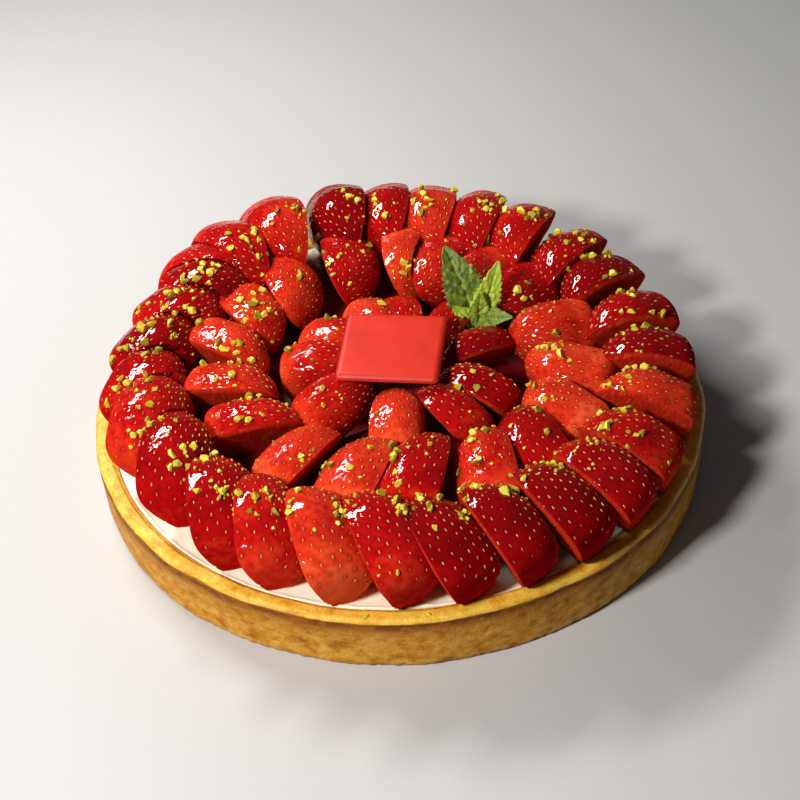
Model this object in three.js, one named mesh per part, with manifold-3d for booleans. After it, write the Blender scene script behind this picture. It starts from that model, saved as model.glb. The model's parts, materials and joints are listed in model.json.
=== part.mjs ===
// A 24 cm strawberry tart: a shortcrust shell filled with vanilla cream, three rings of halved
// strawberries that lean on each other like roof tiles, chopped pistachio, a mint sprig and a plaque.
// Millimetres, +Z up, origin at the centre of the flat base.
import * as THREE from 'three';
import { mergeVertices } from 'three/addons/utils/BufferGeometryUtils.js';
import Module from 'manifold-3d';

const wasm = await Module();
wasm.setup();

// ---- Driving dimensions -------------------------------------------------------------------
const TART_DIAMETER = 240;
const CRUST_HEIGHT = 25;
const CRUST_WALL = 7;
const CRUST_BASE = 5;
const CRUST_DRAFT = 1.3; // how much narrower the foot is than the rim, on the radius
const CRUST_SEGMENTS = 72;
const CREAM_LEVEL = 23.6;
const CREAM_RELIEF = 0.7; // how far the spread cream dips below its level
const GAP = 0.3; // air left between two pieces that touch

const PLAQUE_SIDE = 40;
const PLAQUE_THICKNESS = 3.2;
const PLAQUE_CORNER = 2.2;
const PLAQUE_BEVEL = 0.4;
const PLAQUE_CENTRE = [-1.2, 3];
const PLAQUE_TURN = -8.6; // degrees counterclockwise seen from above

const LEAF_THICKNESS = 0.6;
const LEAF_STATIONS = 6;
const STEM_FOOT = [33.5, 31, 37];
// tip, width, how far the blade bows out of the straight line, which way its face looks
const LEAVES = [
  { tip: [22, 46, 65], width: 19, bow: 2.5, face: [0.3, -1, 0.4] },
  { tip: [43, 38, 62], width: 12, bow: 2, face: [0, -1, 0.3] },
  { tip: [35, 29, 54], width: 10, bow: 1.5, face: [0, -1, 0.8] },
  { tip: [47, 22, 46], width: 10, bow: 2.5, face: [-0.2, -0.5, 1] },
  { tip: [24, 30, 47], width: 9, bow: 1.5, face: [-0.5, -0.8, 0.8] },
];

const CRUMB_SIZES = [1.6, 2.3]; // radius of the smallest and largest chopped nut kept as a solid
// bearing and distance from the middle of the crumbs that fell on the crust's rim
const RIM_CRUMBS = [[262, 117], [265, 117.6], [268, 117], [273, 116.8], [285, 117.5], [326, 117]];

const CRUST_COLOUR = 0xd79a48;
const CREAM_COLOUR = 0xf6ecd6;
const PLAQUE_COLOUR = 0xee4632;
const MINT_COLOUR = 0x5f9130;
const RIPE_COLOUR = 0x9c0c12;
const PALE_COLOUR = 0xd8331f;

// ---- Strawberries: ring by ring -----------------------------------------------------------
// bearings are where the hull ends lie, counterclockwise from +X, set by eye. The other values
// drift round the ring: a mean, then waves of [amount, how many to the turn, bearing of a crest].
// reach is the hull end's distance from the middle and swing turns the tip counterclockwise from
// pointing at the middle. sunk is how deep the lowest edge would stand in the cream, lean the slope
// of the cut faces and pitch the rise from hull to tip. oddOnes are the berries, by number, that
// are larger than their neighbours, stand nearer the middle, lie flatter or point elsewhere.
const RINGS = [
  {
    name: 'outer',
    bearings: [
      232, 242, 255, 267, 278, 290, 302, 314, 326, 342, 357, 12, 28, 41,
      55, 67, 78, 89, 99, 114, 126, 136, 147, 159, 172, 186, 201, 216,
    ],
    reach: [114.6, [2.4, 2, 110]],
    swing: [10, [13, 2, 52], [10, 1, 248]],
    length: [41.5, [2, 1, 260], [2.2, 2, 80]],
    width: [33.2, [1.4, 2, 105]],
    sunk: [5.5, [1.5, 1, 270]],
    lean: 66,
    pitch: 21,
    cutFaces: 'clockwise',
    crumbs: 2,
    oddOnes: {
      1: { swing: 42, size: 1.04 },
      2: { swing: 30 },
      3: { size: 1.04 },
      4: { size: 1.05 },
      20: { size: 1.08 },
      21: { size: 1.05 },
      23: { swing: 30, reach: 110, lean: 52 },
      24: { swing: 40, reach: 109, lean: 50 },
      25: { swing: 48, reach: 109, lean: 50 },
      26: { swing: 52, reach: 109, lean: 52 },
      27: { swing: 53, reach: 109, lean: 54, size: 1.08 },
      28: { swing: 48, reach: 110, lean: 58, size: 1.08 },
    },
  },
  {
    name: 'middle',
    bearings: [233, 256, 274, 296, 314, 334, 356, 20, 44, 60, 76, 88, 105, 124, 142, 161, 182, 203],
    reach: [83.5, [3.5, 1, 75], [2.5, 2, 130]],
    swing: [-14, [9, 2, 45]],
    length: [37, [1.8, 1, 250]],
    width: [29, [0.8, 2, 110]],
    sunk: [3],
    lean: 62,
    pitch: 10,
    cutFaces: 'counterclockwise',
    crumbs: 1,
    oddOnes: {
      2: { swing: -12, size: 1.06 },
      3: { swing: -20, size: 1.08 },
      11: { swing: -4 },
      12: { swing: 0 },
      13: { swing: -12 },
      18: { swing: -16 },
    },
  },
  {
    name: 'inner',
    bearings: [137, 164, 209, 262, 305, 333, 24, 54, 87, 105],
    reach: [47, [3.5, 1, 60]],
    swing: [6, [7, 1, 110]],
    length: [35, [1.5, 1, 240]],
    width: [24, [1.6, 1, 250]],
    sunk: [2],
    lean: 56,
    pitch: 12,
    cutFaces: 'clockwise',
    crumbs: 1,
    oddOnes: { 6: { swing: -8 } },
  },
];
const SIZE_SPREAD = 0.03; // how far one berry's size departs from its neighbours', as a share
const HALF_THICKNESS = 0.62; // a half's thickness as a share of the berry's width
const WIDEST_AT = 0.36; // where the berry is widest, from hull 0 to tip 1
const SHOULDER_POWER = 4.6;
const HULL_POWER = 0.3; // the smaller, the blunter the hulled end
const TAPER_POWER = 2.4;
const TIP_POWER = 0.58; // the smaller, the blunter the tip
const BERRY_STATIONS = [0.015, 0.09, 0.3, 0.58, 0.8, 0.94];
const BERRY_SIDES = 10;
const BERRY_BEND = 1.6; // how far a berry's middle may sit to one side of its axis

const DEGREE = Math.PI / 180;
const UP = new THREE.Vector3(0, 0, 1);

// ---- Solids from three.js geometry --------------------------------------------------------
function solidOf(geometry) {
  const bare = geometry.clone();
  bare.deleteAttribute('normal');
  bare.deleteAttribute('uv');
  const merged = mergeVertices(bare, 1e-4);
  return new wasm.Manifold(
    new wasm.Mesh({
      numProp: 3,
      vertProperties: new Float32Array(merged.attributes.position.array),
      triVerts: new Uint32Array(merged.index.array),
    }),
  );
}

function geometryOf(solid) {
  const { vertProperties, triVerts } = solid.getMesh();
  const geometry = new THREE.BufferGeometry();
  geometry.setAttribute('position', new THREE.BufferAttribute(vertProperties, 3));
  geometry.setIndex(new THREE.BufferAttribute(triVerts, 1));
  return geometry;
}

// A repeatable stream of numbers from 0 to 1 (Park and Miller's generator).
function seededDraw(seed) {
  let state = seed;
  return () => {
    state = (state * 16807) % 2147483647;
    return state / 2147483647;
  };
}

// ---- The halved strawberry ----------------------------------------------------------------
// Its own frame: +Y from hull to tip, +Z out of the round back, cut face in the plane Z = 0.
function berryRadius(share, width) {
  if (share < WIDEST_AT) {
    const back = (WIDEST_AT - share) / WIDEST_AT;
    return (width / 2) * (1 - back ** SHOULDER_POWER) ** HULL_POWER;
  }
  const down = (share - WIDEST_AT) / (1 - WIDEST_AT);
  return (width / 2) * (1 - down ** TAPER_POWER) ** TIP_POWER;
}

// No two berries are alike: each bends and bulges a little in its own way.
function unevenBerry(geometry, length, seed) {
  const draw = seededDraw(seed);
  const bend = (draw() * 2 - 1) * BERRY_BEND;
  const bulge = draw() * Math.PI * 2;
  const points = geometry.attributes.position;
  for (let i = 0; i < points.count; i++) {
    const angle = Math.atan2(points.getZ(i), points.getX(i));
    const swell = 1 + 0.035 * Math.cos(2 * angle + bulge) + 0.025 * Math.cos(3 * angle + 2 * bulge);
    const share = points.getY(i) / length;
    points.setX(i, points.getX(i) * swell + bend * Math.sin(Math.PI * share));
    points.setZ(i, points.getZ(i) * swell);
  }
  return geometry;
}

function halfBerry({ length, width, seed }, grow = 0) {
  const profile = [new THREE.Vector2(0, -grow)];
  for (const share of BERRY_STATIONS) {
    const y = share * length - (share < 0.1 ? grow : 0);
    profile.push(new THREE.Vector2(berryRadius(share, width) + grow, y));
  }
  profile.push(new THREE.Vector2(0, length + grow));
  const berry = new THREE.LatheGeometry(profile, BERRY_SIDES, Math.PI / 2);
  unevenBerry(berry, length, seed).scale(1, 1, HALF_THICKNESS * 2);
  const keep = new THREE.BoxGeometry(width * 2, length * 3, width * 2);
  keep.translate(0, 0, width - grow);
  return solidOf(berry).intersect(solidOf(keep));
}

// The frame of a berry in its ring, before it is let down onto the cream.
function berryAxes(ring, bearing, swing, lean) {
  const side = ring.cutFaces === 'clockwise' ? 1 : -1;
  const heading = (bearing + 180 + swing) * DEGREE;
  const flat = new THREE.Vector3(Math.cos(heading), Math.sin(heading), 0);
  const facing = new THREE.Vector3().crossVectors(UP, flat).multiplyScalar(side);
  const axis = flat.multiplyScalar(Math.cos(ring.pitch * DEGREE));
  axis.addScaledVector(UP, Math.sin(ring.pitch * DEGREE));
  const back = new THREE.Vector3().crossVectors(axis, facing).multiplyScalar(side);
  back.multiplyScalar(Math.cos(lean * DEGREE));
  back.addScaledVector(facing, -Math.sin(lean * DEGREE));
  const across = new THREE.Vector3().crossVectors(axis, back);
  return new THREE.Matrix4().makeBasis(across, axis, back);
}

function drift([mean, ...waves], bearing) {
  return waves.reduce((sum, [amount, times, crest]) => {
    return sum + amount * Math.cos(times * (bearing - crest) * DEGREE);
  }, mean);
}

function placeBerry(ring, bearing, odd, seed) {
  const size = (odd.size ?? 1) * (1 + SIZE_SPREAD * (2 * seededDraw(seed)() - 1));
  const length = drift(ring.length, bearing) * size;
  const width = drift(ring.width, bearing) * size;
  const reach = odd.reach ?? drift(ring.reach, bearing);
  const swing = odd.swing ?? drift(ring.swing, bearing);
  const berry = { ring, length, width, seed };
  const placement = berryAxes(ring, bearing, swing, odd.lean ?? ring.lean);
  const lowest = halfBerry(berry).transform(placement.elements).boundingBox().min[2];
  const x = reach * Math.cos(bearing * DEGREE);
  const y = reach * Math.sin(bearing * DEGREE);
  placement.setPosition(x, y, CREAM_LEVEL - drift(ring.sunk, bearing) - lowest);
  berry.placement = placement;
  berry.solid = halfBerry(berry).transform(placement.elements);
  berry.grown = halfBerry(berry, GAP).transform(placement.elements);
  return berry;
}

// Everything on the round-back side of a berry's cut face, less the gap.
function behindCutFace({ placement }) {
  const box = new THREE.BoxGeometry(TART_DIAMETER, TART_DIAMETER, TART_DIAMETER);
  box.translate(0, 0, TART_DIAMETER / 2 - GAP);
  return solidOf(box.applyMatrix4(placement));
}

// Where a berry may be: on the cream inside the rim, and anywhere above the rim.
function roomForBerries() {
  const inside = TART_DIAMETER / 2 - 0.4 - CRUST_WALL - GAP;
  const overRim = CRUST_HEIGHT + GAP;
  const well = new THREE.CylinderGeometry(inside, inside, TART_DIAMETER, CRUST_SEGMENTS);
  well.rotateX(Math.PI / 2);
  well.translate(0, 0, CREAM_LEVEL + GAP + TART_DIAMETER / 2);
  const above = new THREE.BoxGeometry(2 * TART_DIAMETER, 2 * TART_DIAMETER, TART_DIAMETER);
  above.translate(0, 0, overRim + TART_DIAMETER / 2);
  return solidOf(well).add(solidOf(above));
}

// Each berry leans with its cut face on the back of the one beside it.
function buildRing(ring, firstSeed) {
  const row = ring.bearings.map((bearing, i) => {
    return placeBerry(ring, bearing, ring.oddOnes[i + 1] ?? {}, firstSeed + 17 * i);
  });
  const room = roomForBerries();
  row.forEach((berry, i) => {
    const step = ring.cutFaces === 'clockwise' ? 1 : row.length - 1;
    const leaning = row[(i + step) % row.length];
    berry.name = `strawberry_${ring.name}_${String(i + 1).padStart(2, '0')}`;
    berry.solid = berry.solid.intersect(room).subtract(behindCutFace(leaning));
  });
  return row;
}

// Where berries still meet, the one farther back gives way to the one in front of it.
function settle(berries) {
  const fromFront = [...berries].sort((a, b) => middleOf(a.solid).y - middleOf(b.solid).y);
  fromFront.forEach((berry, i) => {
    for (const front of fromFront.slice(0, i)) {
      if (meets(berry.solid, front.solid)) {
        berry.solid = largestPart(berry.solid.subtract(front.grown));
      }
    }
  });
}

function middleOf(solid) {
  const { min, max } = solid.boundingBox();
  return new THREE.Vector3((min[0] + max[0]) / 2, (min[1] + max[1]) / 2, (min[2] + max[2]) / 2);
}

function meets(a, b) {
  const [p, q] = [a.boundingBox(), b.boundingBox()];
  const apart = [0, 1, 2].some((k) => p.min[k] > q.max[k] || q.min[k] > p.max[k]);
  return !apart && !a.intersect(b).isEmpty();
}

function largestPart(solid) {
  return solid.decompose().sort((a, b) => b.volume() - a.volume())[0];
}

// ---- Crust and cream ----------------------------------------------------------------------
// Turned shapes are made around +Y and stood up; a hand-pressed wall wanders a little. Only
// even waves are used, so that opposite sides match and the middle stays the middle.
function wander(angle) {
  return 0.3 * Math.cos(2 * angle + 0.7) + 0.22 * Math.cos(8 * angle) + 0.14 * Math.cos(22 * angle + 2);
}

function turned(profile, segments, shape) {
  const geometry = new THREE.LatheGeometry(profile.map(([r, z]) => new THREE.Vector2(r, z)), segments);
  geometry.rotateX(Math.PI / 2);
  const points = geometry.attributes.position;
  for (let i = 0; i < points.count; i++) {
    const radius = Math.hypot(points.getX(i), points.getY(i));
    const angle = Math.atan2(points.getY(i), points.getX(i));
    const [r, z] = shape(radius, points.getZ(i), angle);
    points.setXYZ(i, r * Math.cos(angle), r * Math.sin(angle), z);
  }
  return solidOf(geometry);
}

function buildCrust() {
  const rim = TART_DIAMETER / 2 - 0.4; // the wander brings it out to the full diameter
  const foot = rim - CRUST_DRAFT;
  const inside = rim - CRUST_WALL;
  const profile = [
    [0, 0],
    [foot - 1.2, 0],
    [foot, 1],
    [rim - 0.3, CRUST_HEIGHT - 5],
    [rim, CRUST_HEIGHT - 2.6],
    [rim - 0.7, CRUST_HEIGHT - 0.7],
    [rim - 2.2, CRUST_HEIGHT],
    [inside + 1.4, CRUST_HEIGHT - 0.1],
    [inside, CRUST_HEIGHT - 1.2],
    [inside, CRUST_BASE],
    [0, CRUST_BASE],
  ];
  return turned(profile, CRUST_SEGMENTS, (r, z, angle) => {
    const outside = r > inside + 1;
    const lip = z > CRUST_HEIGHT - 1.5 ? 0.25 * (Math.cos(6 * angle + 1) - 1) : 0;
    return [outside ? r + wander(angle) : r, z + lip];
  });
}

function buildCream() {
  const edge = TART_DIAMETER / 2 - 0.4 - CRUST_WALL - GAP;
  const bottom = CRUST_BASE + GAP;
  const profile = [[0, bottom], [edge, bottom], [edge, CREAM_LEVEL - 0.6]];
  for (const share of [0.985, 0.95, 0.88, 0.6, 0.3, 0]) profile.push([edge * share, CREAM_LEVEL]);
  return turned(profile, CRUST_SEGMENTS / 2, (r, z, angle) => {
    const spread = 1 + Math.cos(4 * angle + r / 9) * Math.sin(3 * angle - r / 14);
    return [r, z === CREAM_LEVEL ? z - (CREAM_RELIEF / 2) * spread : z];
  });
}

// ---- Plaque -------------------------------------------------------------------------------
function roundedSquare(side, corner) {
  const half = side / 2;
  const outline = new THREE.Shape();
  outline.moveTo(-half + corner, -half);
  for (const [x, y] of [[1, -1], [1, 1], [-1, 1], [-1, -1]]) {
    const turn = Math.atan2(y, x) - Math.PI / 4;
    const middle = half - corner;
    outline.absarc(x * middle, y * middle, corner, turn, turn + Math.PI / 2, false);
  }
  return outline;
}

// It lies level on the tips of the inner berries.
function buildPlaque(berries) {
  const flat = PLAQUE_THICKNESS - 2 * PLAQUE_BEVEL;
  const geometry = new THREE.ExtrudeGeometry(roundedSquare(PLAQUE_SIDE - 2 * PLAQUE_BEVEL, PLAQUE_CORNER), {
    depth: flat,
    curveSegments: 3,
    bevelSize: PLAQUE_BEVEL,
    bevelThickness: PLAQUE_BEVEL,
    bevelSegments: 1,
  });
  geometry.rotateZ(PLAQUE_TURN * DEGREE);
  geometry.translate(PLAQUE_CENTRE[0], PLAQUE_CENTRE[1], PLAQUE_BEVEL);
  const plaque = solidOf(geometry);
  const column = plaque.scale([1, 1, 60]);
  let rest = 0;
  for (const { solid } of berries) {
    const below = solid.intersect(column);
    if (!below.isEmpty()) rest = Math.max(rest, below.boundingBox().max[2]);
  }
  return plaque.translate([0, 0, rest + GAP]);
}

// ---- Mint sprig ---------------------------------------------------------------------------
// A blade is a strip of stations from foot to tip: edge, rib, edge on both faces, with teeth
// along the edges and both faces divided alike.
function leafBlade({ tip, width, bow, face }, foot) {
  const from = new THREE.Vector3(...foot);
  const along = new THREE.Vector3(...tip).sub(from);
  const length = along.length();
  along.normalize();
  const out = new THREE.Vector3(...face).addScaledVector(along, -along.dot(new THREE.Vector3(...face)));
  out.normalize();
  const aside = new THREE.Vector3().crossVectors(along, out);
  const points = [];
  for (const front of [1, -1]) {
    for (let i = 0; i <= LEAF_STATIONS; i++) {
      const share = i / LEAF_STATIONS;
      const full = Math.sin(Math.PI * Math.min(1, 0.14 + 0.86 * share ** 0.85));
      const tooth = i % 2 ? 1 : 0.84;
      for (const sideways of [-1, 0, 1]) {
        const spread = (sideways * (0.06 + 0.94 * full) * tooth * width) / 2;
        const cup = 0.16 * Math.abs(spread) + 0.5 * Math.sin(5 * share + 2 * sideways);
        const lift = bow * Math.sin(Math.PI * share) + cup + (front * LEAF_THICKNESS) / 2;
        const point = from.clone().addScaledVector(along, share * length);
        points.push(point.addScaledVector(aside, spread).addScaledVector(out, lift));
      }
    }
  }
  return solidOf(leafSkin(points));
}

function leafSkin(points) {
  const back = points.length / 2;
  const index = [];
  const quad = (a, b, c, d) => index.push(a, b, c, a, c, d);
  for (let i = 0; i < LEAF_STATIONS; i++) {
    const row = 3 * i;
    for (const k of [0, 1]) {
      quad(row + k, row + k + 1, row + k + 4, row + k + 3);
      index.push(back + row + k, back + row + k + 4, back + row + k + 1);
      index.push(back + row + k, back + row + k + 3, back + row + k + 4);
    }
    quad(row, row + 3, back + row + 3, back + row);
    quad(row + 2, back + row + 2, back + row + 5, row + 5);
  }
  const end = 3 * LEAF_STATIONS;
  for (const k of [0, 1]) {
    quad(k, back + k, back + k + 1, k + 1);
    quad(end + k, end + k + 1, back + end + k + 1, back + end + k);
  }
  const geometry = new THREE.BufferGeometry().setFromPoints(points);
  geometry.setIndex(index);
  return geometry;
}

function buildSprig(berries, plaque) {
  const stem = new THREE.CylinderGeometry(1, 1.1, 9, 8);
  stem.rotateX(Math.PI / 2);
  stem.translate(STEM_FOOT[0], STEM_FOOT[1], STEM_FOOT[2] - 2.5);
  let sprig = solidOf(stem);
  for (const leaf of LEAVES) sprig = sprig.add(leafBlade(leaf, STEM_FOOT));
  for (const { grown, solid } of berries) {
    if (meets(sprig, solid)) sprig = largestPart(sprig.subtract(grown));
  }
  return meets(sprig, plaque) ? largestPart(sprig.subtract(plaque)) : sprig;
}

// ---- Chopped pistachio --------------------------------------------------------------------
function crumb(draw, at, grow = 0) {
  const [small, large] = CRUMB_SIZES;
  const radius = small + (large - small) * draw() + grow;
  const nut = new THREE.IcosahedronGeometry(radius, 0);
  nut.scale(1, 0.7 + 0.4 * draw(), 0.6 + 0.3 * draw());
  nut.rotateZ(draw() * Math.PI);
  nut.rotateX(draw() * Math.PI);
  nut.translate(at.x, at.y, at.z);
  return solidOf(nut);
}

// A point on a berry's round back, high enough to catch falling crumbs.
function spotOnBack(berry, draw) {
  const share = 0.12 + 0.76 * draw();
  const radius = berryRadius(share, berry.width);
  const angle = Math.PI * (0.2 + 0.6 * draw());
  const spot = new THREE.Vector3(
    radius * Math.cos(angle),
    share * berry.length,
    radius * Math.sin(angle) * HALF_THICKNESS * 2,
  );
  return spot.applyMatrix4(berry.placement);
}

function sprinkle(berries, others) {
  const solids = others.concat(berries.map(({ solid }) => solid));
  berries.forEach((berry, i) => {
    const draw = seededDraw(9001 + 131 * i);
    let wanted = berry.ring.crumbs;
    for (let tries = 0; wanted > 0 && tries < 40; tries++) {
      const spot = spotOnBack(berry, draw);
      const seed = 1 + Math.floor(draw() * 1e6);
      const nut = crumb(seededDraw(seed), spot);
      const around = crumb(seededDraw(seed), spot, GAP);
      const own = solids.length - berries.length + i;
      const shared = nut.intersect(berry.solid).volume() / nut.volume();
      if (shared < 0.15 || shared > 0.75) continue;
      if (solids.some((solid, k) => k !== own && meets(around, solid))) continue;
      berry.solid = berry.solid.add(nut);
      solids[own] = berry.solid;
      wanted -= 1;
    }
  });
}

function dropOnRim(crust) {
  const draw = seededDraw(77);
  return RIM_CRUMBS.reduce((solid, [bearing, reach]) => {
    const angle = bearing * DEGREE;
    const spot = new THREE.Vector3(reach * Math.cos(angle), reach * Math.sin(angle), CRUST_HEIGHT + 0.2);
    return solid.add(crumb(draw, spot));
  }, crust);
}

// ---- The tart -----------------------------------------------------------------------------
const berries = RINGS.flatMap((ring, i) => buildRing(ring, 401 + 1000 * i));
settle(berries);
const plaque = buildPlaque(berries);
const sprig = buildSprig(berries, plaque);
sprinkle(berries, [plaque, sprig]);

const tart = new THREE.Group();
tart.name = 'strawberry_tart';

function addPart(name, solid, color, roughness) {
  const material = new THREE.MeshStandardMaterial({ color, roughness, metalness: 0 });
  const mesh = new THREE.Mesh(geometryOf(solid), material);
  mesh.name = name;
  tart.add(mesh);
}

addPart('crust', dropOnRim(buildCrust()), CRUST_COLOUR, 0.75);
addPart('cream', buildCream(), CREAM_COLOUR, 0.5);
addPart('plaque', plaque, PLAQUE_COLOUR, 0.4);
addPart('mint_sprig', sprig, MINT_COLOUR, 0.6);
const ripeness = seededDraw(5);
for (const { name, solid } of berries) {
  const red = new THREE.Color(RIPE_COLOUR).lerp(new THREE.Color(PALE_COLOUR), ripeness());
  addPart(name, solid, red, 0.15);
}

export default tart;
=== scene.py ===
"""A 24 cm strawberry tart: a shortcrust shell with vanilla cream, three rings of glazed strawberry
halves, chopped pistachio, a mint sprig and a chocolate plaque."""
import json
import math
from collections import namedtuple

import bpy
import numpy as np
from bpy.props import FloatProperty, FloatVectorProperty, IntProperty, PointerProperty
from mathutils import Matrix, Quaternion, Vector, noise
from mathutils.bvhtree import BVHTree

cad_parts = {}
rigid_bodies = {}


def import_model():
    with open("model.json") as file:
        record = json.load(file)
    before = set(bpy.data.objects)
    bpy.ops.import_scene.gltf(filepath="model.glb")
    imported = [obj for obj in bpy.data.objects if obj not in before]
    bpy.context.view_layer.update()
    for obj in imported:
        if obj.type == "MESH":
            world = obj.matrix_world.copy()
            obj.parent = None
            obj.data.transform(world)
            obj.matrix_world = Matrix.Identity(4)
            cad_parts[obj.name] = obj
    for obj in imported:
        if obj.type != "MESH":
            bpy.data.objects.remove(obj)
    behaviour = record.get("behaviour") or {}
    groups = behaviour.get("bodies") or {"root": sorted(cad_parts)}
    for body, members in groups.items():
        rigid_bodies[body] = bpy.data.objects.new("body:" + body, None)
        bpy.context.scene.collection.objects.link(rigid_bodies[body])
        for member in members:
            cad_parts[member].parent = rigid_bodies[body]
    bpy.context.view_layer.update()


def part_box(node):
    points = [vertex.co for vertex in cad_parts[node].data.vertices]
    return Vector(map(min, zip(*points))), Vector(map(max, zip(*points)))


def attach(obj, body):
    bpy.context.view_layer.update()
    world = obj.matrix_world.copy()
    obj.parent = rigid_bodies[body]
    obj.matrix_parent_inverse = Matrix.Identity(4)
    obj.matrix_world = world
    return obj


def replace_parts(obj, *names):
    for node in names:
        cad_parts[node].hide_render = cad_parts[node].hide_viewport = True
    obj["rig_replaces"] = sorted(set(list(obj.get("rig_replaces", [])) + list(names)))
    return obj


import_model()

bl_info = {
    "name": "Strawberry tart",
    "version": (1, 0, 0),
    "blender": (4, 5, 0),
    "location": "3D View > Sidebar > Tart",
    "description": "Models a glazed strawberry tart piece by piece",
    "category": "Add Mesh",
}

MM = 0.001
# the room left between pieces, and how far the rim stays inside the tart's width, for its waves
GAP = 0.3 * MM
RIM_INSET = 0.4 * MM
GOLDEN_ANGLE = math.pi * (3 - math.sqrt(5))
UP = np.array([0.0, 0.0, 1.0])

# ---- The berries' rule, in millimetres and degrees ----------------------------------------------
# bearings are where the hull ends lie, counterclockwise from +X. The other values drift round the
# ring: a mean, then waves of (amount, how many to the turn, bearing of a crest). reach is the hull
# end's distance from the middle and swing turns the tip counterclockwise from pointing inwards.
# sunk is how deep the lowest edge would stand in the cream, lean the slope of the cut faces and
# pitch the rise from hull to tip. odd_ones are larger than their neighbours, lie flatter or point
# elsewhere; pale and dark ones stand out by their colour.
RINGS = (
    {
        "name": "outer",
        "bearings": (
            232, 242, 255, 267, 278, 290, 302, 314, 326, 342, 357, 12, 28, 41,
            55, 67, 78, 89, 99, 114, 126, 136, 147, 159, 172, 186, 201, 216,
        ),
        "reach": (114.6, (2.4, 2, 110)),
        "swing": (10, (13, 2, 52), (10, 1, 248)),
        "length": (41.5, (2, 1, 260), (2.2, 2, 80)),
        "width": (33.2, (1.4, 2, 105)),
        "sunk": (5.5, (1.5, 1, 270)),
        "lean": 66,
        "pitch": 21,
        "side": 1,
        "odd_ones": {
            1: {"swing": 42, "size": 1.04},
            2: {"swing": 30},
            3: {"size": 1.04},
            4: {"size": 1.05},
            20: {"size": 1.08},
            21: {"size": 1.05},
            23: {"swing": 30, "reach": 110, "lean": 52},
            24: {"swing": 40, "reach": 109, "lean": 50},
            25: {"swing": 48, "reach": 109, "lean": 50},
            26: {"swing": 52, "reach": 109, "lean": 52},
            27: {"swing": 53, "reach": 109, "lean": 54, "size": 1.08},
            28: {"swing": 48, "reach": 110, "lean": 58, "size": 1.08},
        },
        "pale": (3, 10, 17, 20),
        "dark": (1, 5, 6, 7, 8, 11, 13, 14, 19, 23, 25, 28),
    },
    {
        "name": "middle",
        "bearings": (233, 256, 274, 296, 314, 334, 356, 20, 44, 60, 76, 88, 105, 124, 142, 161, 182, 203),
        "reach": (83.5, (3.5, 1, 75), (2.5, 2, 130)),
        "swing": (-14, (9, 2, 45)),
        "length": (37, (1.8, 1, 250)),
        "width": (29, (0.8, 2, 110)),
        "sunk": (3,),
        "lean": 62,
        "pitch": 10,
        "side": -1,
        "odd_ones": {
            2: {"swing": -12, "size": 1.06},
            3: {"swing": -20, "size": 1.08},
            11: {"swing": -4},
            12: {"swing": 0},
            13: {"swing": -12},
            18: {"swing": -16},
        },
        "pale": (1, 2, 4, 6, 7, 8, 10, 11, 12, 14, 15, 16, 17),
        "dark": (5,),
    },
    {
        "name": "inner",
        "bearings": (137, 164, 209, 262, 305, 333, 24, 54, 87, 105),
        "reach": (47, (3.5, 1, 60)),
        "swing": (6, (7, 1, 110)),
        "length": (35, (1.5, 1, 240)),
        "width": (24, (1.6, 1, 250)),
        "sunk": (2,),
        "lean": 56,
        "pitch": 12,
        "side": 1,
        "odd_ones": {6: {"swing": -8}},
        "pale": (1, 2, 4, 10),
        "dark": (6, 7),
    },
)
FIRST_SEED = 401
SIZE_SPREAD = 0.03
# how pale a berry is, from 0 to 1, and how far each strays from that
PALE_TONE, USUAL_TONE, DARK_TONE = 0.68, 0.34, 0.08
TONE_SPREAD = 0.15
# a berry's outline: where it is widest, then how round its shoulder and how blunt its tip are
HALF_THICKNESS = 0.62
WIDEST_AT = 0.36
SHOULDER_POWER = 4.6
HULL_POWER = 0.3
TAPER_POWER = 2.4
TIP_POWER = 0.58
BERRY_BEND = 1.6 * MM
# where the outline is felt for its lowest corner
RESTING_STATIONS = (0.015, 0.09, 0.3, 0.58, 0.8, 0.94)
RESTING_SIDES = 10

Berry = namedtuple("Berry", "name ring length width bend bulge seed ripeness basis origin")
Leaf = namedtuple("Leaf", "tip width bow face teeth tone")

# tip, width and bow in millimetres, then which way its face looks, the teeth along a side and how
# light it is
STEM_FOOT = (33.5, 31, 37)
LEAVES = (
    Leaf((22, 46, 65), 19, 2.5, (0.3, -1, 0.4), 11, 0.35),
    Leaf((43, 38, 62), 12, 2, (0, -1, 0.3), 9, 0.8),
    Leaf((35, 29, 54), 10, 1.5, (0, -1, 0.8), 8, 0.55),
    Leaf((47, 22, 46), 10, 2.5, (-0.2, -0.5, 1), 8, 0.4),
    Leaf((24, 30, 47), 9, 1.5, (-0.5, -0.8, 0.8), 7, 0.7),
)
STEM_SHADE = 0.6

# bearing, reach in millimetres, spread in millimetres and count of each heap of chopped pistachio
NUT_HEAPS = (
    (308, 89, 7, 16), (296, 92, 7, 10), (322, 92, 8, 10), (283, 92, 8, 9), (270, 92, 8, 10),
    (256, 92, 8, 11), (243, 94, 8, 12), (230, 97, 8, 12), (216, 99, 8, 12), (201, 101, 9, 12),
    (187, 102, 9, 13), (172, 101, 9, 14), (158, 100, 10, 16), (145, 97, 10, 15), (128, 95, 8, 8),
    (112, 95, 8, 9), (96, 95, 8, 9), (80, 97, 8, 10), (64, 99, 8, 14), (50, 101, 8, 15),
    (36, 100, 9, 15), (20, 98, 9, 14), (5, 95, 9, 13), (350, 93, 9, 12), (336, 93, 9, 11),
    (150, 66, 8, 12), (170, 62, 8, 9), (192, 62, 8, 8), (215, 64, 8, 8), (240, 62, 8, 7),
    (270, 58, 8, 7), (300, 58, 8, 8), (330, 60, 8, 8), (0, 62, 8, 8), (30, 62, 8, 9),
    (110, 62, 8, 6), (85, 60, 8, 6), (130, 40, 7, 6), (210, 34, 8, 6), (330, 30, 8, 5),
)
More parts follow.
